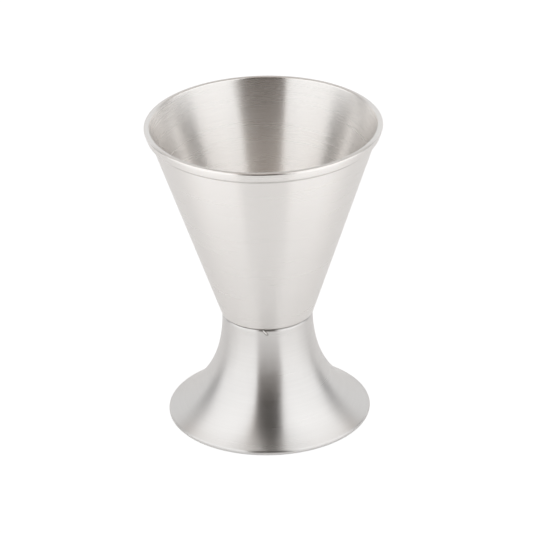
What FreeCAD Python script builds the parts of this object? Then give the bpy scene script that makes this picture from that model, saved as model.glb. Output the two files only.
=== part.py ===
"""Bar jigger: a conical measure brazed back to back with a bell-shaped one that is also its foot.

Millimetres. +Z runs up the axis of both cups; the origin is on that axis, in the plane of the
foot ring that the jigger stands on. Each cup is one piece of sheet metal, spun to shape, with its
edge folded back on itself in a hem: outwards at the rim, where it is pressed flat on top, and
inwards at the foot. Braze metal between the two floors holds them together and stands out of the
seam as one small bead.
"""
import FreeCAD, Part
import Sketcher
import math
import os

Vector = FreeCAD.Vector
Rotation = FreeCAD.Rotation
UP = Vector(0, 0, 1)

START, END, CENTRE = 1, 2, 3          # Sketcher's names for the points of a line or an arc
ORIGIN, VERTICAL_AXIS = -1, -2        # Sketcher's names for the root point and the vertical axis

# Driving dimensions: alias, value, meaning.
SIZES = (
    ("overall_height", 72.75, "foot plane to the top of the rim"),
    ("gauge", 0.6, "sheet thickness of both cups"),
    ("fold_radius", 0.65, "outside radius of the foot hem's fold"),
    ("free_edge_shown", 0.45, "rounding of a hem's free edge on the side that shows"),
    ("free_edge_hidden", 0.1, "rounding of a hem's free edge next to the wall"),
    ("rim_radius", 27.16, "where the rim's flat top and the hem's face would meet"),
    ("rim_hem_gap", 0.05, "gap between the rim's hem and the wall"),
    ("rim_hem_length", 2.58, "flat top to the hem's free edge, along the hem's face"),
    ("rim_rounding", 0.4, "rounding of both edges of the rim's flat top"),
    ("cup_floor_radius", 10.21, "inside of the upper cup at its floor"),
    ("cup_corner_outside", 0.3, "outside rounding of the upper cup's floor corner"),
    ("cup_corner_inside", 0.8, "inside rounding of the upper cup's floor corner"),
    ("braze_film", 0.15, "thickness of the braze between the two floors"),
    ("braze_radius", 9.8, "how far the film of braze reaches from the axis"),
    ("bell_height", 25.75, "foot plane to the closed end of the lower cup"),
    ("neck_radius", 10.44, "outside of the lower cup at its closed end"),
    ("neck_height", 1.0, "straight wall between the closed end and the flare"),
    ("shoulder_outside", 0.65, "outside rounding of the lower cup's closed end"),
    ("shoulder_inside", 0.3, "inside rounding of the lower cup's closed end"),
    ("upper_flare_radius", 32.7, "curve of the bell next to the neck"),
    ("upper_flare_end", 16.3, "height where the tighter middle curve begins"),
    ("middle_flare_radius", 24.5, "curve of the bell at mid height"),
    ("middle_flare_end", 5.75, "height where the last curve begins, which runs into the fold"),
    ("foot_radius", 23.4, "outside of the foot's fold"),
    ("foot_hem_depth", 2.35, "outside of the foot's fold to the hem's free edge"),
    ("foot_lap", 0.03, "metal taken off the foot's fold to leave a flat ring"),
    ("bead_azimuth", 263.5, "where the bead leaves the seam, in degrees from +X"),
    ("bead_length", 1.65, "long way of the bead"),
    ("bead_width", 0.35, "short way of the bead, and its thickness"),
    ("bead_slant", 38.0, "lean of the bead's long way from upright, in degrees"),
)


def add_sheet(doc):
    """Puts the driving dimensions in a spreadsheet, one row each."""
    sheet = doc.addObject("Spreadsheet::Sheet", "sizes")
    for row, (alias, value, meaning) in enumerate(SIZES, start=1):
        sheet.set("A%d" % row, meaning)
        sheet.set("B%d" % row, str(value))
        sheet.setAlias("B%d" % row, alias)
    doc.recompute()
    return sheet


def origin_feature(body, role):
    return next(item for item in body.Origin.OriginFeatures if item.Role == role)


def add_sketch(body, name):
    """A sketch on the body's XZ plane: sketch x is the radius, sketch y is the height."""
    sketch = body.newObject("Sketcher::SketchObject", name)
    sketch.AttachmentSupport = [(origin_feature(body, "XZ_Plane"), "")]
    sketch.MapMode = "FlatFace"
    return sketch


def add_line(sketch, start, end):
    return sketch.addGeometry(Part.LineSegment(Vector(*start, 0), Vector(*end, 0)))


def add_arc(sketch, centre, radius, first_angle, last_angle):
    """An anticlockwise arc; the angles are in degrees."""
    circle = Part.Circle(Vector(*centre, 0), UP, radius)
    arc = Part.ArcOfCircle(circle, math.radians(first_angle), math.radians(last_angle))
    return sketch.addGeometry(arc)


def hold(sketch, kind, *where):
    """Adds a geometric constraint."""
    sketch.addConstraint(Sketcher.Constraint(kind, *where))


def drive(sketch, name, formula, kind, *where):
    """Adds a dimension that follows a formula of the sheet's cells."""
    index = sketch.addConstraint(Sketcher.Constraint(kind, *where))
    sketch.renameConstraint(index, name)
    sketch.setExpression("Constraints." + name, formula)


def polar(origin, distance, angle):
    """The point at a distance and a direction, in degrees, from another point."""
    return (origin[0] + distance * math.cos(math.radians(angle)),
            origin[1] + distance * math.sin(math.radians(angle)))


def spin(body, sketch):
    """Gives a line the thickness of the sheet, on the inside of its bends, and turns it round."""
    section = body.newObject("PartDesign::SubShapeBinder", body.Name + "_section")
    section.Support = [(sketch, "")]
    section.OffsetFill = True
    section.OffsetOpenResult = True
    section.OffsetJoinType = "Intersection"
    section.setExpression("Offset", "-sizes.gauge")
    shell = body.newObject("PartDesign::Revolution", body.Name + "_shell")
    shell.Profile = section
    shell.ReferenceAxis = (origin_feature(body, "Z_Axis"), [""])
    shell.Angle = 360.0
    return shell


def ring_edges(shape, wanted):
    """Names of the whole circles at the given (radius, height) pairs."""
    names = []
    for radius, height in wanted:
        for number, edge in enumerate(shape.Edges, start=1):
            circle = edge.Curve
            if not isinstance(circle, Part.Circle) or not edge.isClosed():
                continue
            if math.dist((circle.Radius, circle.Center.z), (radius, height)) < 0.01:
                names.append("Edge%d" % number)
    if len(names) != len(wanted):
        raise RuntimeError("wanted %d ring edges, found %s" % (len(wanted), names))
    return names


def round_rings(doc, body, base, name, wanted, formula):
    """Rounds ring edges of a feature with one radius taken from the sheet."""
    doc.recompute()
    rounding = body.newObject("PartDesign::Fillet", name)
    rounding.Base = (base, ring_edges(base.Shape, wanted))
    rounding.setExpression("Radius", formula)
    return rounding


def round_free_edge(doc, body, base, shown, hidden):
    """Rounds both edges of a hem's free end, given their (radius, height)."""
    front = round_rings(doc, body, base, "free_edge_front", [shown], "sizes.free_edge_shown")
    return round_rings(doc, body, front, "free_edge_back", [hidden], "sizes.free_edge_hidden")


def make_upper_cup(doc, sheet):
    """The conical measure: flat floor, straight wall, hem folded outwards and pressed flat on top.

    The sketch is the sheet's inner face, which becomes the outer face of the hem.
    """
    body = doc.addObject("PartDesign::Body", "upper_cup")
    sketch = add_sketch(body, "cup_line")
    gauge = sheet.gauge
    hem = 2 * gauge + sheet.rim_hem_gap
    floor = (sheet.cup_floor_radius, sheet.bell_height + sheet.braze_film + gauge)
    rim = (sheet.rim_radius, sheet.overall_height)
    rise = math.atan2(rim[1] - floor[1], rim[0] - floor[0])
    slope = math.degrees(rise + math.asin(hem / math.dist(floor, rim)))
    mouth = (rim[0] - hem / math.sin(math.radians(slope)), rim[1])
    leg_foot = polar(rim, -sheet.rim_hem_length, slope)

    bottom = add_line(sketch, (0, floor[1]), floor)
    wall = add_line(sketch, floor, mouth)
    brow = add_line(sketch, mouth, rim)
    leg = add_line(sketch, rim, leg_foot)

    hold(sketch, "PointOnObject", bottom, START, VERTICAL_AXIS)
    hold(sketch, "Horizontal", bottom)
    hold(sketch, "Coincident", bottom, END, wall, START)
    hold(sketch, "Coincident", wall, END, brow, START)
    hold(sketch, "Horizontal", brow)
    hold(sketch, "Coincident", brow, END, leg, START)
    hold(sketch, "Parallel", leg, wall)
    drive(sketch, "floor_height", "sizes.bell_height + sizes.braze_film + sizes.gauge",
          "DistanceY", ORIGIN, START, bottom, START, floor[1])
    drive(sketch, "floor_radius", "sizes.cup_floor_radius",
          "DistanceX", ORIGIN, START, bottom, END, floor[0])
    drive(sketch, "rim_height", "sizes.overall_height",
          "DistanceY", ORIGIN, START, brow, END, rim[1])
    drive(sketch, "rim_across", "sizes.rim_radius",
          "DistanceX", ORIGIN, START, brow, END, rim[0])
    drive(sketch, "hem_thickness", "2 * sizes.gauge + sizes.rim_hem_gap",
          "Distance", brow, START, leg, hem)
    drive(sketch, "hem_length", "sizes.rim_hem_length",
          "Distance", leg, START, leg, END, sheet.rim_hem_length)

    shell = spin(body, sketch)
    # The sheet's outer face under the floor meets its wall here.
    base = (floor[0] + gauge * math.tan(math.radians(45 - (90 - slope) / 2)),
            floor[1] - gauge)
    outside = round_rings(doc, body, shell, "corner_outside", [base],
                          "sizes.cup_corner_outside")
    inside = round_rings(doc, body, outside, "corner_inside", [floor],
                         "sizes.cup_corner_inside")
    top = round_rings(doc, body, inside, "rim_edges", [mouth, rim], "sizes.rim_rounding")
    round_free_edge(doc, body, top, leg_foot, polar(leg_foot, gauge, slope + 90))
    return body


def flare_down(start, lean, radius, end_height):
    """Follows a curve of the flare, whose centre lies outside the bell, down to a height.

    The curve leaves start at an angle of lean degrees from the vertical. Returns its centre, its
    lean at the end and the end point.
    """
    centre = polar(start, radius, lean)
    end_lean = math.degrees(math.asin((centre[1] - end_height) / radius))
    return centre, end_lean, polar(centre, -radius, end_lean)


def flare_into_fold(start, lean, fold_centre, fold):
    """The curve from start that runs into the foot's fold: its radius, centre and end lean."""
    across, above = start[0] - fold_centre[0], start[1] - fold_centre[1]
    along = across * math.cos(math.radians(lean)) + above * math.sin(math.radians(lean))
    radius = (across ** 2 + above ** 2 - fold ** 2) / (2 * (fold - along))
    centre = polar(start, radius, lean)
    end_lean = math.degrees(math.atan2(centre[1] - fold_centre[1], centre[0] - fold_centre[0]))
    return radius, centre, end_lean


def make_lower_cup(doc, sheet):
    """The bell-shaped measure: closed at the neck, open below, hem folded inwards at the foot.

    The sketch is the sheet's outer face, from the middle of the closed end to the free edge.
    """
    body = doc.addObject("PartDesign::Body", "lower_cup")
    sketch = add_sketch(body, "bell_line")
    gauge, fold = sheet.gauge, sheet.fold_radius
    crown = (sheet.neck_radius, sheet.bell_height)
    neck = (sheet.neck_radius, sheet.bell_height - sheet.neck_height)
    fold_centre = (sheet.foot_radius - fold, fold - sheet.foot_lap)
    upper_centre, upper_lean, waist = flare_down(
        neck, 0.0, sheet.upper_flare_radius, sheet.upper_flare_end)
    middle_centre, middle_lean, skirt = flare_down(
        waist, upper_lean, sheet.middle_flare_radius, sheet.middle_flare_end)
    lower_radius, lower_centre, lean = flare_into_fold(skirt, middle_lean, fold_centre, fold)
    leg_length = sheet.foot_hem_depth - fold
    leg_start = polar(fold_centre, -fold, lean)
    leg_end = polar(leg_start, leg_length, lean + 90)

    top = add_line(sketch, (0, crown[1]), crown)
    band = add_line(sketch, crown, neck)
    upper = add_arc(sketch, upper_centre, sheet.upper_flare_radius, 180, 180 + upper_lean)
    middle = add_arc(sketch, middle_centre, sheet.middle_flare_radius,
                     180 + upper_lean, 180 + middle_lean)
    lower = add_arc(sketch, lower_centre, lower_radius, 180 + middle_lean, 180 + lean)
    bend = add_arc(sketch, fold_centre, fold, lean - 180, lean)
    leg = add_line(sketch, leg_start, leg_end)

    hold(sketch, "PointOnObject", top, START, VERTICAL_AXIS)
    hold(sketch, "Horizontal", top)
    hold(sketch, "Coincident", top, END, band, START)
    hold(sketch, "Vertical", band)
    hold(sketch, "Tangent", band, END, upper, START)
    hold(sketch, "Tangent", upper, END, middle, START)
    hold(sketch, "Tangent", middle, END, lower, START)
    hold(sketch, "Tangent", lower, END, bend, END)
    hold(sketch, "Tangent", bend, START, leg, START)
    hold(sketch, "Angle", bend, math.pi)
    drive(sketch, "crown_height", "sizes.bell_height",
          "DistanceY", ORIGIN, START, top, START, crown[1])
    drive(sketch, "neck_across", "sizes.neck_radius",
          "DistanceX", ORIGIN, START, top, END, crown[0])
    drive(sketch, "band_height", "sizes.neck_height",
          "Distance", band, START, band, END, sheet.neck_height)
    drive(sketch, "upper_radius", "sizes.upper_flare_radius",
          "Radius", upper, sheet.upper_flare_radius)
    drive(sketch, "upper_end", "sizes.upper_flare_end",
          "DistanceY", ORIGIN, START, upper, END, waist[1])
    drive(sketch, "middle_radius", "sizes.middle_flare_radius",
          "Radius", middle, sheet.middle_flare_radius)
    drive(sketch, "middle_end", "sizes.middle_flare_end",
          "DistanceY", ORIGIN, START, middle, END, skirt[1])
    drive(sketch, "bend_radius", "sizes.fold_radius", "Radius", bend, fold)
    drive(sketch, "bend_across", "sizes.foot_radius - sizes.fold_radius",
          "DistanceX", ORIGIN, START, bend, CENTRE, fold_centre[0])
    drive(sketch, "bend_height", "sizes.fold_radius - sizes.foot_lap",
          "DistanceY", ORIGIN, START, bend, CENTRE, fold_centre[1])
    drive(sketch, "leg_length", "sizes.foot_hem_depth - sizes.fold_radius",
          "Distance", leg, START, leg, END, leg_length)

    shell = spin(body, sketch)
    outside = round_rings(doc, body, shell, "shoulder_out", [crown], "sizes.shoulder_outside")
    # The bell's inner face meets the underside of the closed end here.
    under = (crown[0] - gauge, crown[1] - gauge)
    inside = round_rings(doc, body, outside, "shoulder_in", [under], "sizes.shoulder_inside")
    edge = round_free_edge(doc, body, inside, leg_end, polar(leg_end, gauge, lean))
    doc.recompute()
    lap_foot(doc, body, edge, sheet)
    return body


def lap_foot(doc, body, base, sheet):
    """Cuts the lowest metal of the foot's fold away, which leaves a flat ring to stand on."""
    sketch = add_sketch(body, "lap_line")
    depth = 2 * sheet.fold_radius
    inner, outer = sheet.foot_radius - depth, sheet.foot_radius
    corners = [(inner, 0), (outer, 0), (outer, -depth), (inner, -depth)]
    sides = [add_line(sketch, start, end)
             for start, end in zip(corners, corners[1:] + corners[:1])]
    for side, following in zip(sides, sides[1:] + sides[:1]):
        hold(sketch, "Coincident", side, END, following, START)
    for side, kind in zip(sides, ("Horizontal", "Vertical", "Horizontal", "Vertical")):
        hold(sketch, kind, side)
    hold(sketch, "PointOnObject", sides[0], START, ORIGIN)
    drive(sketch, "outside", "sizes.foot_radius",
          "DistanceX", ORIGIN, START, sides[0], END, outer)
    drive(sketch, "width", "2 * sizes.fold_radius",
          "DistanceX", sides[0], START, sides[0], END, depth)
    drive(sketch, "depth", "2 * sizes.fold_radius",
          "DistanceY", sides[1], END, sides[1], START, depth)

    lap = body.newObject("PartDesign::Groove", "foot_flat")
    lap.Profile = sketch
    lap.ReferenceAxis = (origin_feature(body, "Z_Axis"), [""])
    lap.Angle = 360.0
    doc.recompute()
    if lap.Shape.Volume >= base.Shape.Volume:
        raise RuntimeError("the lap took nothing off the foot")


def make_braze(doc, sheet, upper_cup, lower_cup):
    """The braze metal: a film between the floors, and one bead that ran out of the seam."""
    film = doc.addObject("Part::Cylinder", "film")
    film.setExpression("Radius", "sizes.braze_radius")
    film.setExpression("Height", "sizes.braze_film")
    film.setExpression("Placement.Base.z", "sizes.bell_height")

    # A run of braze fills the gap beyond the film, as far as the bead.
    turn = Rotation(UP, sheet.bead_azimuth)
    run = doc.addObject("Part::Box", "run")
    run.setExpression("Length", "sizes.neck_radius - sizes.braze_radius + sizes.bead_width")
    run.setExpression("Width", "sizes.bead_width")
    run.setExpression("Height", "sizes.gauge / 2 + sizes.braze_film")
    start = Vector(sheet.braze_radius - sheet.bead_width, -sheet.bead_width / 2,
                   sheet.bell_height - sheet.gauge / 2)
    run.Placement = FreeCAD.Placement(turn.multVec(start), turn)

    bead = doc.addObject("Part::Ellipsoid", "bead")
    bead.setExpression("Radius1", "sizes.bead_width / 2")
    bead.setExpression("Radius2", "sizes.bead_length / 2")
    bead.setExpression("Radius3", "sizes.bead_width / 2")
    # The bead lies on the neck's wall. It hangs from the seam and leans aside as it goes down.
    slant = math.radians(sheet.bead_slant)
    half = sheet.bead_length / 2
    middle = Vector(sheet.neck_radius, half * math.sin(slant),
                    sheet.bell_height - half * math.cos(slant))
    onto_wall = Rotation(Vector(0, 1, 0), 90)
    aside = Rotation(UP, sheet.bead_slant)
    bead.Placement = FreeCAD.Placement(turn.multVec(middle), turn * onto_wall * aside)

    metal = doc.addObject("Part::MultiFuse", "metal")
    metal.Shapes = [film, run, bead]
    above = doc.addObject("Part::Cut", "metal_over_bell")
    above.Base = metal
    above.Tool = lower_cup
    braze = doc.addObject("Part::Cut", "braze")
    braze.Base = above
    braze.Tool = upper_cup
    return braze


def export(doc, pieces):
    """Checks every object and every piece, then writes one STEP file for each piece."""
    doc.recompute()
    for item in doc.Objects:
        if "Invalid" in item.State or "Error" in item.State:
            raise RuntimeError("%s failed: %s" % (item.Label, item.State))
    for piece in pieces:
        if piece.Shape.isNull() or not piece.Shape.isValid():
            raise RuntimeError("%s has no valid shape" % piece.Label)
    os.makedirs("parts", exist_ok=True)
    for piece in pieces:
        piece.Shape.exportStep("parts/%s.step" % piece.Label)
        print("%s: %d solid, %.1f mm3" % (piece.Label, len(piece.Shape.Solids),
                                          piece.Shape.Volume))


doc = FreeCAD.newDocument("jigger")
sheet = add_sheet(doc)
upper_cup = make_upper_cup(doc, sheet)
lower_cup = make_lower_cup(doc, sheet)
braze = make_braze(doc, sheet, upper_cup, lower_cup)
export(doc, [upper_cup, lower_cup, braze])
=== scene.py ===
"""Bar jigger in spun, circumferentially brushed stainless steel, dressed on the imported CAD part.

Metres, in the CAD frame: +Z is the axis of both cups and z = 0 is the plane of the foot. Each CAD
piece is replaced by a fine mesh of its own. The cups are turned from the CAD outlines, and the
braze is a film and a bead. Each keeps to its piece's box, to within 0.03 mm.
"""
import math

import bmesh
import bpy
from mathutils import Matrix, Vector


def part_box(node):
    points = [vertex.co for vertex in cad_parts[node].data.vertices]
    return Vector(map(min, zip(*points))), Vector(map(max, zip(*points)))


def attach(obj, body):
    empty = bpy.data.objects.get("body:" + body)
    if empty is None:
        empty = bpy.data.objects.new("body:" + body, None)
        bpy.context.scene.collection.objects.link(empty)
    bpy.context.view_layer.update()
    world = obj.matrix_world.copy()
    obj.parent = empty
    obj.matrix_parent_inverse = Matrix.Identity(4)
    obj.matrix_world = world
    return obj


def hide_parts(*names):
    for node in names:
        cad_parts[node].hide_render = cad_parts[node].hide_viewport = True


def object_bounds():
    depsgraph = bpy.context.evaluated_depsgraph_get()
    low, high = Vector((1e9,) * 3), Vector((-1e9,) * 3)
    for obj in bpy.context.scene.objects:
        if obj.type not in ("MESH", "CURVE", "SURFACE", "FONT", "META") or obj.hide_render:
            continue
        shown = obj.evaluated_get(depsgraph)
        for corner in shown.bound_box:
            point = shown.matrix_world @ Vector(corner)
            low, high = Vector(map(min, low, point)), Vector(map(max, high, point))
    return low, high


MM = 0.001

# The sheet metal, as the CAD part has it, but with the rim 0.01 mm narrower, which keeps the mesh
# inside the CAD box. What the frame's boxes give isn't repeated here.
GAUGE = 0.6 * MM                      # sheet thickness of both cups
FOLD = 0.65 * MM                      # outside radius of the foot hem's fold
FOOT_LEG = 1.7 * MM                   # straight length of the foot's hem beyond its fold
RIM_RADIUS = 27.15 * MM               # where the rim's flat top and the hem's face would meet
RIM_HEM = 1.25 * MM                   # thickness of the rim's hem: two sheets and a gap
RIM_LEG = 2.58 * MM                   # flat top to the hem's free edge, along the hem's face
RIM_ROUNDING = 0.4 * MM               # rounding of both edges of the rim's flat top
FREE_EDGE_SHOWN = 0.45 * MM           # rounding of a hem's free edge on the side that shows ...
FREE_EDGE_HIDDEN = 0.1 * MM           # ... and on the side next to the wall
CUP_FLOOR_RADIUS = 10.21 * MM         # inside of the upper cup at its floor
CUP_CORNER_INSIDE = 0.8 * MM
CUP_CORNER_OUTSIDE = 0.3 * MM
NECK_RADIUS = 10.44 * MM              # outside of the lower cup at its closed end
NECK_HEIGHT = 1.0 * MM                # straight wall between the closed end and the flare
SHOULDER_OUTSIDE = 0.65 * MM
SHOULDER_INSIDE = 0.3 * MM
UPPER_FLARE = 32.7 * MM               # curve of the bell next to the neck ...
UPPER_FLARE_END = 16.3 * MM           # ... and the height where it ends
MIDDLE_FLARE = 24.5 * MM              # curve of the bell at mid height ...
MIDDLE_FLARE_END = 5.75 * MM          # ... and the height where it ends
FOOT_LAP = 0.03 * MM                  # metal lapped off the fold to leave a flat ring
BRAZE_RADIUS = 9.8 * MM               # how far the film of braze reaches from the axis
FILM_WANDER = 0.03 * MM               # swing of each wave in the film's edge, and its bevel
BEAD_AZIMUTH = math.radians(263.5)    # where the bead leaves the seam

TENT_FRONT = 1.04                     # brightness of the light tent beside the camera,
TENT_FRONT_HIGH = 1.17                # higher up beside it,
TENT_BACK = 0.76                      # behind the jigger,
TENT_BACK_HIGH = 0.30                 # higher up behind it,
TENT_TOP = 0.75                       # and overhead
SLOT_SHADE = 0.13                     # share of it that is left low in the camera's slot,
SLOT_SHADE_HIGH = 0.02                # higher up in the slot,
GAP_SHADE = 0.42                      # low in the two side gaps
GAP_SHADE_HIGH = 0.66                 # and higher up in them
WARM = (1.12, 0.97, 0.86)             # colour of the light from the slot and from high up behind

# Where one part of the tent gives way to the next: two angles, in degrees, between which it fades.
# Some are above the floor, and the others are from the camera's side, to the left or to the right.
PANEL_HIGH = (32.0, 42.0)             # above the floor: lower panels and gaps to upper panels,
PANEL_TOP = (65.0, 75.0)              # upper panels to the top,
SLOT_RISE = (15.0, 38.0)              # low in the slot to higher up in it
GAP_RISE = (14.0, 28.0)               # and low in the gaps to higher up in them
PANEL_BACK = (90.0, 130.0)            # from the camera's side: lower front panels to lower back ones
PANEL_BACK_HIGH = (121.0, 136.0)      # and upper front panels to upper back ones
GAP_ASIDE = 114.5                     # the middle of both gaps, from the camera's side,
GAP_FADE = (4.0, 16.0)                # and a gap to the tent, from the gap's middle

FLOOR_RADIUS = 3.0
FLOOR_GLOW = 0.12                     # light the floor adds near the jigger and towards the camera,
FLOOR_GLOW_BESIDE = 0.45              # away from it on both sides of the camera,
FLOOR_GLOW_BEHIND = 0.10              # and behind it
FLOOR_AHEAD = (21.0, 30.0)            # degrees from the camera's side: ahead to beside
FLOOR_BEHIND = (65.0, 100.0)          # and beside to behind
FLOOR_AWAY = (0.045, 0.10)            # distances from the axis: near to away

CAMERA_PLACE = (0.0, -0.7782, 0.4268)
CAMERA_PITCH = math.radians(26.624)   # how far the camera looks down
CAMERA_ROLL = math.radians(-1.296)
CAMERA_LENS = 256.3                   # focal length in mm, on a sensor 36 mm wide

# The slot's edges, in x of the direction looked in, as it runs up from the floor past the top.
SLOT_LEFT_EDGE = -0.43                # left edge at the floor,
SLOT_LEFT_LEAN = 0.15                 # how far it leans in on its way up
SLOT_LEFT_TURN = 0.45                 # and how far it turns in close to the top
SLOT_RIGHT_EDGE = 0.49                # right edge, as its upper part would meet the floor,
SLOT_RIGHT_LEAN = 0.28                # how far it leans in on its way up,
SLOT_RIGHT_TURN = 0.08                # how far it turns in high up
SLOT_RIGHT_FOOT = 0.52                # and where it does meet the floor
SLOT_SOFTNESS = 0.015                 # half the width over which an edge fades,
SLOT_SOFTNESS_HIGH = 0.16             # and what the left edge adds to it high up

# The bead's run: out of the neck's wall, down from the seam and aside along the wall, and half the
# bead's thickness there, all in mm.
BEAD = ((-0.80, 0.00, -0.02, 0.05), (-0.50, -0.02, -0.01, 0.07), (-0.25, 0.00, 0.00, 0.10),
        (-0.06, 0.12, 0.03, 0.13), (0.00, 0.30, 0.12, 0.155), (0.01, 0.50, 0.27, 0.155),
        (0.00, 0.72, 0.45, 0.145), (0.00, 0.94, 0.64, 0.13), (-0.01, 1.11, 0.79, 0.11),
        (-0.03, 1.22, 0.88, 0.08), (-0.05, 1.28, 0.93, 0.03))
BEAD_CLEAR = 4                        # the first of its stations that is clear of the seam

PAINTED_SHADE = (0.20, 0.18, 0.16)            # painted shade: dark colour the steel is given at the seam, under the rim's hem and beside the bead
SEAM_SHADE_REACH = 0.36 * MM          # how far the painted shade reaches from the seam,
HEM_SHADE_REACH = 0.45 * MM           # from the corner under the rim's hem
BEAD_SHADOW_REACH = 0.5 * MM                 # and the painted shadow from the middle of the bead

TURNS = 256                           # steps round the axis
BEAD_TURNS = 16                       # steps round the bead
LINE_STEP = 0.8 * MM                  # longest step along a straight run of an outline
ARC_STEP = math.radians(6)            # largest turn between two points of an arc ...
ARC_RUN = 0.6 * MM                    # ... and the longest step along it

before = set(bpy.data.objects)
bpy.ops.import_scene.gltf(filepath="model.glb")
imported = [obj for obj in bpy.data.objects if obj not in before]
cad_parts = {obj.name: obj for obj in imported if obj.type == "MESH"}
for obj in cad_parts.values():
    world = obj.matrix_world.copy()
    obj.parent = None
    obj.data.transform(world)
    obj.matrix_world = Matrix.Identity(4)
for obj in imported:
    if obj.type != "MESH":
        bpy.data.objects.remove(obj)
cad_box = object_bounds()


# ---------------------------------------------------------------- outlines in the (radius, height) plane

def polar(origin, distance, angle):
    """The point at a distance and a direction (radians) from another point."""
    return (origin[0] + distance * math.cos(angle), origin[1] + distance * math.sin(angle))


def line(start, end):
    """Points from start to end, no further apart than LINE_STEP."""
    steps = max(1, math.ceil(math.dist(start, end) / LINE_STEP))
    return [(start[0] + (end[0] - start[0]) * i / steps, start[1] + (end[1] - start[1]) * i / steps)
            for i in range(steps + 1)]


def arc(centre, radius, first, last):
    """Points of an arc between two directions (radians), in the order given."""
    turn = abs(last - first)
    steps = max(2, math.ceil(turn / ARC_STEP), math.ceil(turn * radius / ARC_RUN))
    return [polar(centre, radius, first + (last - first) * i / steps) for i in range(steps + 1)]


def rounded(before, corner, after, radius):
    """Points of the arc of a radius that rounds the corner between two straight runs."""
    to_before = math.atan2(before[1] - corner[1], before[0] - corner[0])
    to_after = math.atan2(after[1] - corner[1], after[0] - corner[0])
    opening = (to_after - to_before + math.pi) % (2 * math.pi) - math.pi
    centre = polar(corner, radius / math.sin(abs(opening) / 2), to_before + opening / 2)
    side = math.copysign(math.pi / 2, opening)
    first = to_before - side
    last = to_after + side
    swing = (last - first + math.pi) % (2 * math.pi) - math.pi
    return arc(centre, radius, first, first + swing)


def joined(*runs):
    """One list of points from several runs, without the points where two runs meet."""
    points = []
    for run in runs:
        for point in run:
            if not points or math.dist(point, points[-1]) > 1e-7:
                points.append(point)
    return points


def rim_points(low, high):
    """The cup's slope, and where its straight runs meet: floor, mouth, rim and the hem's foot."""
    floor, rim = (CUP_FLOOR_RADIUS, low.z + GAUGE), (RIM_RADIUS, high.z)
    rise = math.atan2(rim[1] - floor[1], rim[0] - floor[0])
    slope = rise + math.asin(RIM_HEM / math.dist(floor, rim))
    mouth = (rim[0] - RIM_HEM / math.sin(slope), rim[1])
    return slope, floor, mouth, rim, polar(rim, -RIM_LEG, slope)


def upper_cup_outline(low, high):
    """Inside of the floor, up the wall, over the rim, down the hem and back under the floor."""
    slope, floor, mouth, rim, leg_foot = rim_points(low, high)
    under_leg_foot = polar(leg_foot, GAUGE, slope + math.pi / 2)
    under_mouth = (mouth[0] + GAUGE * math.tan(slope / 2), mouth[1] - GAUGE)
    under_rim = (rim[0] - GAUGE / math.tan(slope / 2), rim[1] - GAUGE)
    base = (floor[0] + GAUGE * math.tan(slope / 2), low.z)
    centre_inside, centre_under = (0.0, floor[1]), (0.0, low.z)
    inside = rounded(centre_inside, floor, mouth, CUP_CORNER_INSIDE)
    inner_edge = rounded(floor, mouth, rim, RIM_ROUNDING)
    outer_edge = rounded(mouth, rim, leg_foot, RIM_ROUNDING)
    free_outer = rounded(rim, leg_foot, under_leg_foot, FREE_EDGE_SHOWN)
    free_inner = rounded(leg_foot, under_leg_foot, under_rim, FREE_EDGE_HIDDEN)
    outside = rounded(under_mouth, base, centre_under, CUP_CORNER_OUTSIDE)
    return joined(line(centre_inside, inside[0]), inside, line(inside[-1], inner_edge[0]), inner_edge,
                  line(inner_edge[-1], outer_edge[0]), outer_edge, line(outer_edge[-1], free_outer[0]),
                  free_outer, free_inner, line(free_inner[-1], under_rim),
                  line(under_rim, under_mouth), line(under_mouth, outside[0]), outside,
                  line(outside[-1], centre_under))


def flare(start, lean, radius, end_height):
    """Centre, end lean and end point of a curve of the bell that leaves start at a lean."""
    centre = polar(start, radius, lean)
    end_lean = math.asin((centre[1] - end_height) / radius)
    return centre, end_lean, polar(centre, -radius, end_lean)


def flare_into_fold(start, lean, fold):
    """Radius, centre and end lean of the curve from start that runs into the foot's fold."""
    across, above = start[0] - fold[0], start[1] - fold[1]
    along = across * math.cos(lean) + above * math.sin(lean)
    radius = (across ** 2 + above ** 2 - FOLD ** 2) / (2 * (FOLD - along))
    centre = polar(start, radius, lean)
    return radius, centre, math.atan2(centre[1] - fold[1], centre[0] - fold[0])


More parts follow.
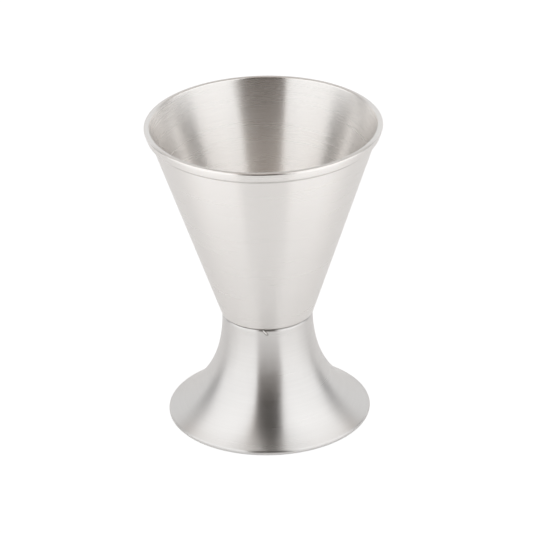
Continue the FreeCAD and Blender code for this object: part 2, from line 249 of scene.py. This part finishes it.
def lower_cup_outline(low, high):
    """Over the closed end, down the bell, round the foot's fold, up the hem and back inside."""
    crown, neck = (NECK_RADIUS, high.z), (NECK_RADIUS, high.z - NECK_HEIGHT)
    under_crown = (NECK_RADIUS - GAUGE, high.z - GAUGE)
    centre_outside, centre_inside = (0.0, crown[1]), (0.0, under_crown[1])
    fold = (high.x - FOLD, low.z + FOLD - FOOT_LAP)
    upper, upper_lean, waist = flare(neck, 0.0, UPPER_FLARE, UPPER_FLARE_END)
    middle, middle_lean, skirt = flare(waist, upper_lean, MIDDLE_FLARE, MIDDLE_FLARE_END)
    last_radius, last, lean = flare_into_fold(skirt, middle_lean, fold)
    leg_start = polar(fold, -FOLD, lean)
    leg_end = polar(leg_start, FOOT_LEG, lean + math.pi / 2)
    over_leg_start = polar(fold, GAUGE - FOLD, lean)
    over_leg_end = polar(leg_end, GAUGE, lean)
    shoulder = rounded(centre_outside, crown, neck, SHOULDER_OUTSIDE)
    inside_neck = (under_crown[0], neck[1])
    under_shoulder = rounded(inside_neck, under_crown, centre_inside, SHOULDER_INSIDE)
    free_outer = rounded(leg_start, leg_end, over_leg_end, FREE_EDGE_SHOWN)
    free_inner = rounded(leg_end, over_leg_end, over_leg_start, FREE_EDGE_HIDDEN)
    half = math.pi
    bell = [(upper, UPPER_FLARE, half, half + upper_lean),
            (middle, MIDDLE_FLARE, half + upper_lean, half + middle_lean),
            (last, last_radius, half + middle_lean, half + lean)]
    outside = [arc(centre, radius, first, end) for centre, radius, first, end in bell]
    inside = [arc(centre, radius + GAUGE, end, first) for centre, radius, first, end in bell[::-1]]
    points = joined(line(centre_outside, shoulder[0]), shoulder, line(shoulder[-1], neck), *outside,
                    arc(fold, FOLD, lean, lean - half), line(leg_start, free_outer[0]), free_outer,
                    free_inner, line(free_inner[-1], over_leg_start),
                    arc(fold, FOLD - GAUGE, lean - half, lean), *inside,
                    line(inside_neck, under_shoulder[0]), under_shoulder,
                    line(under_shoulder[-1], centre_inside))
    return [(radius, max(height, low.z)) for radius, height in points]


# ---------------------------------------------------------------- meshes

def turned(name, outline):
    """A closed mesh from an outline that begins and ends on the axis."""
    mesh = bpy.data.meshes.new(name)
    shape = bmesh.new()
    rings = []
    for radius, height in outline:
        if radius < 1e-9:
            rings.append([shape.verts.new((0.0, 0.0, height))] * TURNS)
            continue
        rings.append([shape.verts.new((radius * math.cos(2 * math.pi * i / TURNS),
                                       radius * math.sin(2 * math.pi * i / TURNS), height))
                      for i in range(TURNS)])
    for ring, following in zip(rings, rings[1:]):
        for i in range(TURNS):
            j = (i + 1) % TURNS
            corners = []
            for vertex in (ring[i], ring[j], following[j], following[i]):
                if vertex not in corners:
                    corners.append(vertex)
            shape.faces.new(corners)
    bmesh.ops.recalc_face_normals(shape, faces=shape.faces)
    for face in shape.faces:
        face.smooth = True
    shape.to_mesh(mesh)
    shape.free()
    piece = bpy.data.objects.new(name, mesh)
    bpy.context.scene.collection.objects.link(piece)
    return piece


def add_film(shape, low, high):
    """The film of braze between two heights, with an edge that wanders a little."""
    layers = []
    for height, inset in ((low, FILM_WANDER), ((low + high) / 2, 0.0), (high, FILM_WANDER)):
        ring = []
        for i in range(TURNS):
            turn = 2 * math.pi * i / TURNS
            wander = (2 + math.sin(3 * turn) + math.sin(7 * turn + 1)) * FILM_WANDER
            x, y = polar((0.0, 0.0), BRAZE_RADIUS - inset - wander, turn)
            ring.append(shape.verts.new((x, y, height)))
        layers.append(ring)
    for ring, above in zip(layers, layers[1:]):
        for i in range(TURNS):
            j = (i + 1) % TURNS
            shape.faces.new((ring[i], ring[j], above[j], above[i]))
    shape.faces.new(layers[0][::-1])
    shape.faces.new(layers[-1])


def bead_place(seam, station):
    """Where a station of the bead's run is."""
    out, down, aside = station[:3]
    x, y = polar((0.0, 0.0), NECK_RADIUS + out * MM, BEAD_AZIMUTH + aside * MM / NECK_RADIUS)
    return Vector((x, y, seam - down * MM))


def add_bead(shape, seam):
    """The bead: braze that ran out of the seam, over the shoulder and aside down the neck."""
    stations = [(bead_place(seam, station), station[3] * MM) for station in BEAD]
    rings = []
    for i, (place, half) in enumerate(stations):
        before, after = stations[max(i - 1, 0)][0], stations[min(i + 1, len(stations) - 1)][0]
        along = (after - before).normalized()
        outward = Vector((place.x, place.y, 0.0)).normalized()
        sideways = along.cross(outward).normalized()
        if abs(along.dot(outward)) > 0.9:
            sideways = Vector((0.0, 0.0, 1.0)).cross(outward).normalized()
        across = sideways.cross(along).normalized()
        rings.append([shape.verts.new(place + half * (math.cos(turn) * sideways
                                                      + math.sin(turn) * across))
                      for turn in (2 * math.pi * k / BEAD_TURNS for k in range(BEAD_TURNS))])
    for ring, following in zip(rings, rings[1:]):
        for k in range(BEAD_TURNS):
            m = (k + 1) % BEAD_TURNS
            shape.faces.new((ring[k], ring[m], following[m], following[k]))
    shape.faces.new(rings[0][::-1])
    shape.faces.new(rings[-1])


def braze_mesh(name, low, high):
    """The braze metal: the film between the two floors, and the bead."""
    shape = bmesh.new()
    add_film(shape, low, high)
    add_bead(shape, (low + high) / 2)
    bmesh.ops.recalc_face_normals(shape, faces=shape.faces)
    for face in shape.faces:
        face.smooth = len(face.verts) == 4
    mesh = bpy.data.meshes.new(name)
    shape.to_mesh(mesh)
    shape.free()
    piece = bpy.data.objects.new(name, mesh)
    bpy.context.scene.collection.objects.link(piece)
    return piece


# ---------------------------------------------------------------- materials

def node(tree, kind, **settings):
    """A new node, with some of its attributes set."""
    made = tree.nodes.new(kind)
    for key, value in settings.items():
        setattr(made, key, value)
    return made


def maths(tree, operation, first, second=None):
    """A Math node's output, from one or two sockets or numbers."""
    made = node(tree, "ShaderNodeMath", operation=operation)
    for socket, value in zip(made.inputs, (first, second)):
        if value is None:
            continue
        if isinstance(value, (int, float)):
            socket.default_value = value
        else:
            tree.links.new(value, socket)
    return made.outputs[0]


def object_parts(tree):
    """The shaded point's x, y and z in the CAD frame."""
    parts = node(tree, "ShaderNodeSeparateXYZ")
    tree.links.new(node(tree, "ShaderNodeTexCoord").outputs["Object"], parts.inputs[0])
    return parts.outputs


def hypotenuse(tree, first, second):
    """Length of the long side of the right triangle with two sockets' numbers as its short ones."""
    return maths(tree, "SQRT", maths(tree, "ADD", maths(tree, "MULTIPLY", first, first),
                                     maths(tree, "MULTIPLY", second, second)))


def round_axis(tree):
    """The shaded point's distance from the axis, and its height."""
    x, y, z = object_parts(tree)
    return hypotenuse(tree, x, y), z


def degrees_aside(tree, x, y):
    """How far a direction is turned away from the camera's side, -Y, in degrees to either side."""
    turn = maths(tree, "ARCTAN2", maths(tree, "ABSOLUTE", x), maths(tree, "MULTIPLY", y, -1.0))
    return maths(tree, "DEGREES", turn)


def power(tree, base, exponent):
    """Base to an exponent, and 0 for what lies below 0."""
    return maths(tree, "POWER", maths(tree, "MAXIMUM", base, 0.0), exponent)


def spun_noise(tree, across, along, detail, roughness=0.6):
    """Noise drawn out round the axis: across is lines per metre, along is changes per radian."""
    x, y, z = object_parts(tree)
    radius = round_axis(tree)[0]
    safe = maths(tree, "MAXIMUM", radius, 1e-5)    # the axis itself has no direction round it
    place = node(tree, "ShaderNodeCombineXYZ")
    tree.links.new(maths(tree, "MULTIPLY", maths(tree, "DIVIDE", x, safe), along), place.inputs[0])
    tree.links.new(maths(tree, "MULTIPLY", maths(tree, "DIVIDE", y, safe), along), place.inputs[1])
    tree.links.new(maths(tree, "MULTIPLY", z, across), place.inputs[2])
    noise = node(tree, "ShaderNodeTexNoise", noise_dimensions="4D")
    noise.inputs["Scale"].default_value = 1.0
    noise.inputs["Detail"].default_value = detail
    noise.inputs["Roughness"].default_value = roughness
    tree.links.new(place.outputs[0], noise.inputs["Vector"])
    tree.links.new(maths(tree, "MULTIPLY", radius, across), noise.inputs["W"])
    return noise.outputs["Fac"]


def ramp(tree, source, low, high, from_low=0.3, from_high=0.7):
    """Source, spread from one range of numbers to another."""
    made = node(tree, "ShaderNodeMapRange", clamp=True)
    tree.links.new(source, made.inputs["Value"])
    for socket, value in zip(("From Min", "From Max", "To Min", "To Max"),
                             (from_low, from_high, low, high)):
        made.inputs[socket].default_value = value
    return made.outputs["Result"]


def near_rings(tree, rings):
    """Depth at rings round the axis, given as (radius, height, reach, depth), fading to 0 at reach."""
    radius, height = round_axis(tree)
    closest = None
    for at, level, reach, depth in rings:
        away = hypotenuse(tree, maths(tree, "SUBTRACT", radius, at),
                          maths(tree, "SUBTRACT", height, level))
        near = ramp(tree, away, depth, 0.0, reach * 0.4, reach)
        closest = near if closest is None else maths(tree, "MAXIMUM", closest, near)
    return closest


def near_run(tree, start, end, reach, depth):
    """Depth along a straight run between two points, fading to 0 at reach from it."""
    where = node(tree, "ShaderNodeTexCoord").outputs["Object"]
    length = (end - start).length
    from_start = node(tree, "ShaderNodeVectorMath", operation="SUBTRACT")
    tree.links.new(where, from_start.inputs[0])
    from_start.inputs[1].default_value = start
    past = node(tree, "ShaderNodeVectorMath", operation="DOT_PRODUCT")
    tree.links.new(from_start.outputs["Vector"], past.inputs[0])
    past.inputs[1].default_value = (end - start) / length
    closest = node(tree, "ShaderNodeVectorMath", operation="SCALE")
    closest.inputs[0].default_value = (end - start) / length
    tree.links.new(ramp(tree, past.outputs["Value"], 0.0, length, 0.0, length),
                   closest.inputs["Scale"])
    away = node(tree, "ShaderNodeVectorMath", operation="DISTANCE")
    tree.links.new(from_start.outputs["Vector"], away.inputs[0])
    tree.links.new(closest.outputs["Vector"], away.inputs[1])
    return ramp(tree, away.outputs["Value"], depth, 0.0, reach * 0.5, reach)


def blend(tree, first, second, share):
    """From first to second, sockets or numbers, as share goes from 0 to 1."""
    made = node(tree, "ShaderNodeMix", data_type="FLOAT")
    for name, value in (("Factor", share), ("A", first), ("B", second)):
        if isinstance(value, (int, float)):
            made.inputs[name].default_value = value
        else:
            tree.links.new(value, made.inputs[name])
    return made.outputs["Result"]


def brushed_steel(name, light, dark, roughness, spread, anisotropy, shade_rings, bead_shadow=None):
    """Stainless steel brushed round its axis, with painted shade near some rings and a painted shadow
    along a run.

    light and dark are the two shades of its streaks, and spread is how much its roughness varies.
    The rings of painted shade are what near_rings takes, and the run of painted shadow what near_run
    takes.
    """
    material = bpy.data.materials.new(name)
    material.use_nodes = True
    tree = material.node_tree
    metal = tree.nodes["Principled BSDF"]
    metal.inputs["Metallic"].default_value = 1.0
    metal.inputs["Anisotropic"].default_value = anisotropy
    metal.inputs["Anisotropic Rotation"].default_value = 0.25

    tangent = node(tree, "ShaderNodeTangent", direction_type="RADIAL", axis="Z")
    tree.links.new(tangent.outputs[0], metal.inputs["Tangent"])

    streaks = spun_noise(tree, across=3000.0, along=0.5, detail=2.0)
    grooves = spun_noise(tree, across=5000.0, along=0.9, detail=1.0)
    bands = spun_noise(tree, across=420.0, along=0.5, detail=1.0, roughness=0.5)

    colour = node(tree, "ShaderNodeMix", data_type="RGBA")
    colour.inputs["A"].default_value = (*dark, 1.0)
    colour.inputs["B"].default_value = (*light, 1.0)
    tree.links.new(ramp(tree, streaks, 0.0, 1.0), colour.inputs["Factor"])
    # painted shade: the colour goes dark near the rings and along the run
    shade_mix = node(tree, "ShaderNodeMix", data_type="RGBA")
    painted_shade_amount = near_rings(tree, shade_rings)
    if bead_shadow:
        painted_shade_amount = maths(tree, "MAXIMUM", painted_shade_amount, near_run(tree, *bead_shadow))
    tree.links.new(maths(tree, "MULTIPLY", painted_shade_amount, ramp(tree, bands, 0.8, 1.0)),
                   shade_mix.inputs["Factor"])
    tree.links.new(colour.outputs["Result"], shade_mix.inputs["A"])
    shade_mix.inputs["B"].default_value = (*PAINTED_SHADE, 1.0)
    tree.links.new(shade_mix.outputs["Result"], metal.inputs["Base Color"])

    rough = maths(tree, "ADD", ramp(tree, grooves, roughness - spread, roughness + spread),
                  ramp(tree, bands, -spread / 2, spread / 2))
    tree.links.new(rough, metal.inputs["Roughness"])

    bump = node(tree, "ShaderNodeBump")
    bump.inputs["Strength"].default_value = 0.004
    bump.inputs["Distance"].default_value = 0.012 * MM
    tree.links.new(streaks, bump.inputs["Height"])
    tree.links.new(bump.outputs["Normal"], metal.inputs["Normal"])
    return material


def braze_metal(name, seam):
    """Braze: bright where it ran out as a bead, and painted near black as shade in the seam above a
    height.
    """
    material = bpy.data.materials.new(name)
    material.use_nodes = True
    tree = material.node_tree
    metal = tree.nodes["Principled BSDF"]
    metal.inputs["Metallic"].default_value = 1.0
    where = node(tree, "ShaderNodeTexCoord").outputs["Object"]
    parts = node(tree, "ShaderNodeSeparateXYZ")
    tree.links.new(where, parts.inputs[0])
    mottle = node(tree, "ShaderNodeTexNoise")
    mottle.inputs["Scale"].default_value = 4000.0
    mottle.inputs["Detail"].default_value = 3.0
    tree.links.new(where, mottle.inputs["Vector"])
    height = maths(tree, "ADD", parts.outputs[2],
                   maths(tree, "MULTIPLY", mottle.outputs["Fac"], 0.06 * MM))
    # painted shade: near black above a height, where the film's edge lies deep in the narrow seam
    braze_shade_share = ramp(tree, height, 0.0, 1.0, seam - 0.12 * MM, seam)
    colour = node(tree, "ShaderNodeMix", data_type="RGBA")
    colour.inputs["A"].default_value = (0.97, 0.96, 0.94, 1.0)
    colour.inputs["B"].default_value = (0.07, 0.06, 0.055, 1.0)
    tree.links.new(braze_shade_share, colour.inputs["Factor"])
    tree.links.new(colour.outputs["Result"], metal.inputs["Base Color"])
    rough = maths(tree, "ADD", ramp(tree, mottle.outputs["Fac"], 0.42, 0.56),
                  maths(tree, "MULTIPLY", braze_shade_share, 0.1))
    tree.links.new(rough, metal.inputs["Roughness"])
    bump = node(tree, "ShaderNodeBump")
    bump.inputs["Strength"].default_value = 0.3
    bump.inputs["Distance"].default_value = 0.02 * MM
    tree.links.new(mottle.outputs["Fac"], bump.inputs["Height"])
    tree.links.new(bump.outputs["Normal"], metal.inputs["Normal"])
    return material


def dress(piece, material, slot_name, *nodes):
    """Gives a piece its material and puts it in its CAD nodes' place."""
    piece.data.materials.append(material)
    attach(piece, "root")
    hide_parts(*nodes)


# ---------------------------------------------------------------- studio

def make_camera():
    """A long lens, well above the rim, looking down on the jigger."""
    camera = bpy.data.objects.new("camera", bpy.data.cameras.new("camera"))
    camera.data.sensor_width = 36.0
    camera.data.lens = CAMERA_LENS
    camera.data.clip_start = 0.01
    camera.matrix_world = (Matrix.Translation(CAMERA_PLACE)
                           @ Matrix.Rotation(math.pi / 2 - CAMERA_PITCH, 4, "X")
                           @ Matrix.Rotation(CAMERA_ROLL, 4, "Z"))
    bpy.context.scene.collection.objects.link(camera)
    bpy.context.scene.camera = camera


def floor_glow(tree):
    """Light that the floor adds, which stands for what the tent throws on it."""
    x, y, z = object_parts(tree)
    aside = degrees_aside(tree, x, y)
    beyond = ramp(tree, aside, FLOOR_GLOW_BESIDE, FLOOR_GLOW_BEHIND, *FLOOR_BEHIND)
    away = maths(tree, "MULTIPLY", ramp(tree, aside, 0.0, 1.0, *FLOOR_AHEAD),
                 ramp(tree, round_axis(tree)[0], 0.0, 1.0, *FLOOR_AWAY))
    return blend(tree, FLOOR_GLOW, beyond, away)


def make_floor(height):
    """A white floor, which the camera sees close to plain white."""
    mesh = bpy.data.meshes.new("floor")
    shape = bmesh.new()
    bmesh.ops.create_circle(shape, cap_ends=True, segments=64, radius=FLOOR_RADIUS,
                            matrix=Matrix.Translation((0.0, 0.0, height)))
    shape.to_mesh(mesh)
    shape.free()
    floor = bpy.data.objects.new("floor", mesh)
    bpy.context.scene.collection.objects.link(floor)
    material = bpy.data.materials.new("floor_white")
    material.use_nodes = True
    tree = material.node_tree
    paint = tree.nodes["Principled BSDF"]
    paint.inputs["Base Color"].default_value = (0.9, 0.9, 0.9, 1.0)
    paint.inputs["Roughness"].default_value = 0.9
    paint.inputs["Specular IOR Level"].default_value = 0.0
    paint.inputs["Emission Color"].default_value = (1.0, 1.0, 1.0, 1.0)
    tree.links.new(floor_glow(tree), paint.inputs["Emission Strength"])
    glow = node(tree, "ShaderNodeEmission")
    glow.inputs["Strength"].default_value = 1.1
    seen = node(tree, "ShaderNodeLightPath").outputs["Is Camera Ray"]
    mix = node(tree, "ShaderNodeMixShader")
    tree.links.new(maths(tree, "MULTIPLY", seen, 0.85), mix.inputs[0])
    tree.links.new(paint.outputs[0], mix.inputs[1])
    tree.links.new(glow.outputs[0], mix.inputs[2])
    tree.links.new(mix.outputs[0], tree.nodes["Material Output"].inputs["Surface"])
    mesh.materials.append(material)


def camera_slot(tree, x, y, z):
    """1 where a direction looks out of the camera's slot, and 0 where it meets the tent."""
    lean_in = maths(tree, "MULTIPLY", z, SLOT_LEFT_LEAN)
    turn_in = maths(tree, "MULTIPLY", power(tree, z, 40.0), SLOT_LEFT_TURN)
    left_edge = maths(tree, "ADD", maths(tree, "ADD", lean_in, turn_in), SLOT_LEFT_EDGE)
    softness = maths(tree, "ADD", SLOT_SOFTNESS,
                     maths(tree, "MULTIPLY", power(tree, z, 6.0), SLOT_SOFTNESS_HIGH))
    past_left = maths(tree, "DIVIDE", maths(tree, "SUBTRACT", x, left_edge), softness)

    start = ramp(tree, z, SLOT_RIGHT_FOOT, SLOT_RIGHT_EDGE, 0.2, 0.35)
    lean_in = maths(tree, "MULTIPLY", z, SLOT_RIGHT_LEAN)
    turn_in = maths(tree, "MULTIPLY", power(tree, z, 4.0), SLOT_RIGHT_TURN)
    right_edge = maths(tree, "SUBTRACT", maths(tree, "SUBTRACT", start, lean_in), turn_in)
    short_of_right = maths(tree, "SUBTRACT", right_edge, x)

    across = maths(tree, "MULTIPLY", ramp(tree, past_left, 0.0, 1.0, -1.0, 1.0),
                   ramp(tree, short_of_right, 0.0, 1.0, -SLOT_SOFTNESS, SLOT_SOFTNESS))
    return maths(tree, "MULTIPLY", across, ramp(tree, y, 1.0, 0.0, 0.08, 0.2))


def make_light():
    """A white tent with two side gaps, and a slot for the camera that runs up past the top."""
    world = bpy.data.worlds.new("tent")
    bpy.context.scene.world = world
    world.use_nodes = True
    tree = world.node_tree
    tent = tree.nodes["Background"]
    where = node(tree, "ShaderNodeTexCoord").outputs["Generated"]
    parts = node(tree, "ShaderNodeSeparateXYZ")
    tree.links.new(where, parts.inputs[0])
    x, y, z = parts.outputs

    slot = camera_slot(tree, x, y, z)
    aside = degrees_aside(tree, x, y)
    above = maths(tree, "DEGREES", maths(tree, "ARCSINE", z))
    gap = maths(tree, "MULTIPLY",
                ramp(tree, maths(tree, "ABSOLUTE", maths(tree, "SUBTRACT", aside, GAP_ASIDE)),
                     1.0, 0.0, *GAP_FADE),
                ramp(tree, above, 1.0, 0.0, *PANEL_HIGH))
    high = ramp(tree, above, 0.0, 1.0, *PANEL_HIGH)
    top = ramp(tree, above, 0.0, 1.0, *PANEL_TOP)
    behind = ramp(tree, aside, 0.0, 1.0, *PANEL_BACK_HIGH)
    wall = blend(tree, TENT_FRONT, TENT_BACK, ramp(tree, aside, 0.0, 1.0, *PANEL_BACK))
    wall = blend(tree, wall, blend(tree, TENT_FRONT_HIGH, TENT_BACK_HIGH, behind), high)
    panels = blend(tree, wall, TENT_TOP, top)
    slot_shade = ramp(tree, above, SLOT_SHADE, SLOT_SHADE_HIGH, *SLOT_RISE)
    gap_shade = ramp(tree, above, GAP_SHADE, GAP_SHADE_HIGH, *GAP_RISE)
    shade = maths(tree, "MULTIPLY", blend(tree, 1.0, slot_shade, slot),
                  blend(tree, 1.0, gap_shade, gap))
    tree.links.new(maths(tree, "MULTIPLY", shade, panels), tent.inputs["Strength"])

    colour = node(tree, "ShaderNodeMix", data_type="RGBA")
    tree.links.new(maths(tree, "MAXIMUM", slot, maths(tree, "MULTIPLY", behind, high)),
                   colour.inputs["Factor"])
    colour.inputs["A"].default_value = (1.0, 1.0, 1.0, 1.0)
    colour.inputs["B"].default_value = (*WARM, 1.0)
    tree.links.new(colour.outputs["Result"], tent.inputs["Color"])

    backdrop = node(tree, "ShaderNodeBackground")
    backdrop.inputs["Strength"].default_value = 1.0
    seen = node(tree, "ShaderNodeLightPath").outputs["Is Camera Ray"]
    mix = node(tree, "ShaderNodeMixShader")
    tree.links.new(seen, mix.inputs[0])
    tree.links.new(tent.outputs[0], mix.inputs[1])
    tree.links.new(backdrop.outputs[0], mix.inputs[2])
    tree.links.new(mix.outputs[0], tree.nodes["World Output"].inputs["Surface"])


def build():
    """The stage, and the three pieces in their CAD nodes' places."""
    bpy.context.scene.view_settings.view_transform = "Standard"
    make_camera()
    make_floor(cad_box[0].z - 0.01 * MM)
    make_light()
    seam = (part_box("lower_cup")[1].z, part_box("upper_cup")[0].z)
    middle = (seam[0] + seam[1]) / 2
    hem_foot = rim_points(*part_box("upper_cup"))[4]
    # painted shade: a dark ring at the seam between the cups, and one in the crease under the rim's hem
    seam_shade_ring = (NECK_RADIUS, middle, SEAM_SHADE_REACH, 1.0)
    hem_shade_ring = (hem_foot[0] - 0.8 * MM, hem_foot[1] - 0.2 * MM, HEM_SHADE_REACH, 0.45)
    # painted shadow: a dark run on the neck beside the bead
    bead_shadow_run = (bead_place(middle, BEAD[BEAD_CLEAR]), bead_place(middle, BEAD[-1]),
                   BEAD_SHADOW_REACH, 0.6)
    cup_steel = brushed_steel("brushed_steel_cup",
                              light=(0.948, 0.928, 0.908), dark=(0.938, 0.918, 0.898),
                              roughness=0.265, spread=0.010, anisotropy=0.92,
                              shade_rings=(seam_shade_ring, hem_shade_ring))
    bell_steel = brushed_steel("brushed_steel_bell",
                               light=(0.82, 0.808, 0.796), dark=(0.80, 0.788, 0.776),
                               roughness=0.30, spread=0.022, anisotropy=0.87,
                               shade_rings=(seam_shade_ring,), bead_shadow=bead_shadow_run)
    dress(turned("conical_cup", upper_cup_outline(*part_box("upper_cup"))), cup_steel,
          "cup_steel", "upper_cup")
    dress(turned("bell_cup", lower_cup_outline(*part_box("lower_cup"))), bell_steel,
          "bell_steel", "lower_cup")
    dress(braze_mesh("braze_seam", *seam), braze_metal("braze_metal", seam[0]),
          "braze_metal", "braze")


build()
